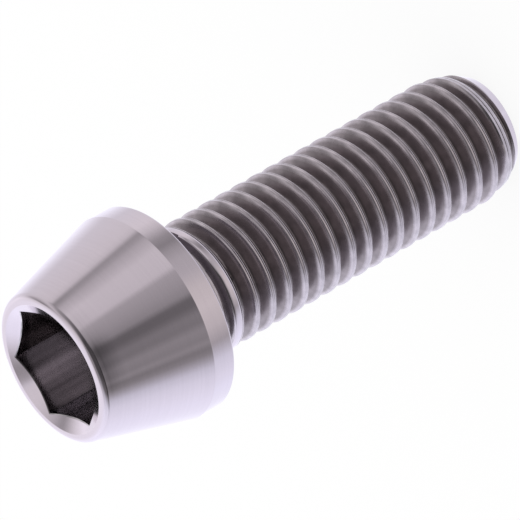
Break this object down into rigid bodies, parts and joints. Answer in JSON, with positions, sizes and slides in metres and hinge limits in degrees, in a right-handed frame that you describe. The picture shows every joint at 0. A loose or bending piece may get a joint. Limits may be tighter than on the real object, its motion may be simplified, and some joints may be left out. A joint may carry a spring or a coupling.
{
  "type": "tapered-head socket cap screw",
  "caption": "Machine screw with a conical head on a straight collar, flat seat, hexagon socket, plain neck and rolled right-hand metric thread.",
  "frame": {"origin": "centre of the flat tip face, where the screw stands", "axes": "+Z along the screw's axis from the tip to the head; +X through a corner of the hexagon socket"},
  "size_m": [0.0158, 0.0158, 0.0402],
  "materials": {
    "bright_metal": "bright bare metal, turned and rolled, fine machining marks"
  },
  "bodies": {
    "root": {"screw": "bright_metal"}
  },
  "joints": []
}
